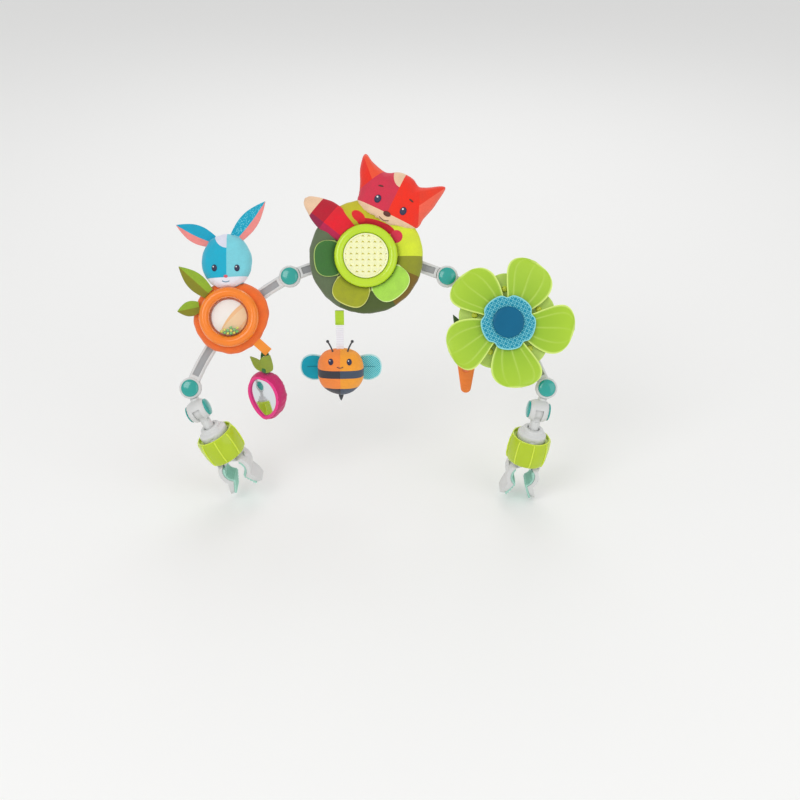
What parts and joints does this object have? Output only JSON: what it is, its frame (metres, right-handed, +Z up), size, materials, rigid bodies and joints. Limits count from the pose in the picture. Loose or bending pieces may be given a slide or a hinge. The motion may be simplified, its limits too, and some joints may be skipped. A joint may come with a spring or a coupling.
{
  "type": "stroller toy arch",
  "caption": "Jointed arch of soft, hanging, spinning and light-up toys that clamps across the tubes of a pushchair with twist-ring jaws.",
  "frame": {"origin": "centre of the left tube seat, between the left clamp's jaws", "axes": "+X from the left clamp to the right one, +Z up, -Y towards the viewer; both seated tubes run along Y and the arch leans back 28 degrees"},
  "size_m": [0.513, 0.1662, 0.4294],
  "materials": {
    "grey_plastic": "satin moulded",
    "mint_rubber": "soft matt",
    "lime_plastic": "gloss moulded",
    "teal_plastic": "gloss moulded",
    "lens_plastic": "prismatic translucent",
    "board": "matt",
    "cell_steel": "satin",
    "patchwork_fabric": "stitched patchwork",
    "dark_felt": "felt",
    "olive_felt": "felt",
    "lime_felt": "felt",
    "red_fabric": "plush patchwork",
    "turquoise_fabric": "plush",
    "orange_fabric": "plush",
    "orange_plastic": "gloss moulded",
    "clear_plastic": "clear moulded",
    "green_bead": "gloss",
    "yellow_bead": "gloss",
    "pink_fabric": "gathered satin",
    "mirror": "polished",
    "white_webbing": "woven",
    "leaf_plastic": "satin moulded",
    "pale_leaf_plastic": "satin moulded",
    "printed_trim": "printed",
    "blue_plastic": "satin moulded"
  },
  "bodies": {
    "clamp_left": {"clamp_body_left": "grey_plastic", "collar_left": "grey_plastic"},
    "ring_left": {"clamp_ring_left": "lime_plastic"},
    "jaw_in_left": {"jaw_inner_left": "grey_plastic", "liner_inner_left": "mint_rubber"},
    "jaw_out_left": {"jaw_outer_left": "grey_plastic", "liner_outer_left": "mint_rubber"},
    "stem_left": {"swivel_stem_left": "grey_plastic", "tilt_pin_left": "teal_plastic"},
    "knuckle_left": {"knuckle_left": "grey_plastic"},
    "arm_left": {"arm_left": "grey_plastic", "elbow_pin_left": "teal_plastic", "shoulder_pin_left": "teal_plastic", "rattle_pouch": "orange_fabric", "rattle_ring": "orange_plastic", "rattle_window": "clear_plastic", "bead_green": "green_bead", "bead_yellow": "yellow_bead", "rabbit_head": "turquoise_fabric", "rattle_leaves": "olive_felt"},
    "radish": {"radish_strap": "white_webbing", "radish_leaves": "olive_felt", "radish_frame": "pink_fabric", "radish_mirror": "mirror"},
    "centre": {"centre_link": "grey_plastic", "disc_cushion": "patchwork_fabric", "disc_leaf_left": "dark_felt", "disc_leaf_low": "olive_felt", "disc_leaf_right": "lime_felt", "music_bezel": "lime_plastic", "music_case": "grey_plastic", "battery_door": "grey_plastic", "circuit_board": "board", "button_cells": "cell_steel", "fox_head": "red_fabric", "fox_tail": "red_fabric"},
    "button": {"lens_button": "lens_plastic"},
    "bee": {"bee_strap": "lime_felt", "bee_body": "orange_fabric", "bee_wings": "turquoise_fabric"},
    "arm_right": {"arm_right": "grey_plastic", "elbow_pin_right": "teal_plastic", "shoulder_pin_right": "teal_plastic", "flower_back": "pale_leaf_plastic", "carrot_strap": "white_webbing"},
    "flower": {"flower_fan": "leaf_plastic", "flower_trim": "printed_trim", "flower_cap": "blue_plastic"},
    "carrot": {"carrot_teether": "orange_plastic", "carrot_leaves": "dark_felt"},
    "knuckle_right": {"knuckle_right": "grey_plastic"},
    "stem_right": {"swivel_stem_right": "grey_plastic", "tilt_pin_right": "teal_plastic"},
    "clamp_right": {"clamp_body_right": "grey_plastic", "collar_right": "grey_plastic"},
    "ring_right": {"clamp_ring_right": "lime_plastic"},
    "jaw_in_right": {"jaw_inner_right": "grey_plastic", "liner_inner_right": "mint_rubber"},
    "jaw_out_right": {"jaw_outer_right": "grey_plastic", "liner_outer_right": "mint_rubber"}
  },
  "joints": [
    {"name": "swivel_left", "type": "hinge", "parent": "clamp_left", "child": "stem_left", "pos_m": [-0.02582, 0, 0.04856], "axis": [-0.4695, 0, 0.8829], "range_deg": [-60, 60]},
    {"name": "tilt_left", "type": "hinge", "parent": "stem_left", "child": "knuckle_left", "pos_m": [-0.04366, 0, 0.08211], "axis": [0.8829, 0, 0.4695], "range_deg": [-32, 20]},
    {"name": "elbow_left", "type": "hinge", "parent": "knuckle_left", "child": "arm_left", "pos_m": [-0.05406, 0.01362, 0.10772], "axis": [0, -0.8829, 0.4695], "range_deg": [-18, 25]},
    {"name": "shoulder_left", "type": "hinge", "parent": "arm_left", "child": "centre", "pos_m": [0.07494, 0.08169, 0.23575], "axis": [0, -0.8829, 0.4695], "range_deg": [-15, 20]},
    {"name": "shoulder_right", "type": "hinge", "parent": "centre", "child": "arm_right", "pos_m": [0.27894, 0.08169, 0.23575], "axis": [0, -0.8829, 0.4695], "range_deg": [-20, 20]},
    {"name": "elbow_right", "type": "hinge", "parent": "arm_right", "child": "knuckle_right", "pos_m": [0.40794, 0.01362, 0.10772], "axis": [0, -0.8829, 0.4695], "range_deg": [-25, 25]},
    {"name": "tilt_right", "type": "hinge", "parent": "knuckle_right", "child": "stem_right", "pos_m": [0.39754, 0, 0.08211], "axis": [-0.9816, 0, 0.1908], "range_deg": [-32, 20]},
    {"name": "swivel_right", "type": "hinge", "parent": "stem_right", "child": "clamp_right", "pos_m": [0.39029, 0, 0.04481], "axis": [0.1908, 0, 0.9816], "range_deg": [-90, 90]},
    {"name": "lens_press", "type": "slide", "parent": "centre", "child": "button", "axis": [0, 0.8829, -0.4695], "range_m": [0, 0.002], "stiffness_N_per_m": 300, "springref_m": -0.002},
    {"name": "bee_swing", "type": "hinge", "parent": "centre", "child": "bee", "pos_m": [0.13984, 0.04586, 0.20369], "axis": [1, 0, 0], "range_deg": [-30, 30]},
    {"name": "radish_swing", "type": "hinge", "parent": "arm_left", "child": "radish", "pos_m": [0.04464, 0.02064, 0.14979], "axis": [0.829, -0.5592, 0], "range_deg": [-25, 10]},
    {"name": "carrot_swing", "type": "hinge", "parent": "arm_right", "child": "carrot", "pos_m": [0.30637, 0.07404, 0.19136], "axis": [1, 0, 0], "range_deg": [-25, 25]},
    {"name": "flower_spin", "type": "hinge", "parent": "arm_right", "child": "flower", "pos_m": [0.35689, 0.05327, 0.1823], "axis": [0, -0.8829, 0.4695], "continuous": true},
    {"name": "ring_turn_left", "type": "hinge", "parent": "clamp_left", "child": "ring_left", "pos_m": [-0.01737, 0, 0.03267], "axis": [-0.4695, 0, 0.8829], "range_deg": [0, 120]},
    {"name": "jaw_in_open_left", "type": "hinge", "parent": "clamp_left", "child": "jaw_in_left", "pos_m": [-0.00944, 0, 0.04481], "axis": [0, -1, 0], "range_deg": [0, 10]},
    {"name": "jaw_out_open_left", "type": "hinge", "parent": "clamp_left", "child": "jaw_out_left", "pos_m": [-0.03187, 0, 0.03289], "axis": [0, 1, 0], "range_deg": [0, 10]},
    {"name": "ring_turn_right", "type": "hinge", "parent": "clamp_right", "child": "ring_right", "pos_m": [0.38685, 0, 0.02714], "axis": [0.1908, 0, 0.9816], "range_deg": [0, 120]},
    {"name": "jaw_in_open_right", "type": "hinge", "parent": "clamp_right", "child": "jaw_in_right", "pos_m": [0.37572, 0, 0.03644], "axis": [0, 1, 0], "range_deg": [0, 10]},
    {"name": "jaw_out_open_right", "type": "hinge", "parent": "clamp_right", "child": "jaw_out_right", "pos_m": [0.40066, 0, 0.03159], "axis": [0, -1, 0], "range_deg": [0, 10]}
  ],
  "couplings": [
    {"joint": "jaw_in_open_left", "follows": "ring_turn_left", "ratio": 0.083333},
    {"joint": "jaw_out_open_left", "follows": "ring_turn_left", "ratio": 0.083333},
    {"joint": "jaw_in_open_right", "follows": "ring_turn_right", "ratio": 0.083333},
    {"joint": "jaw_out_open_right", "follows": "ring_turn_right", "ratio": 0.083333}
  ]
}
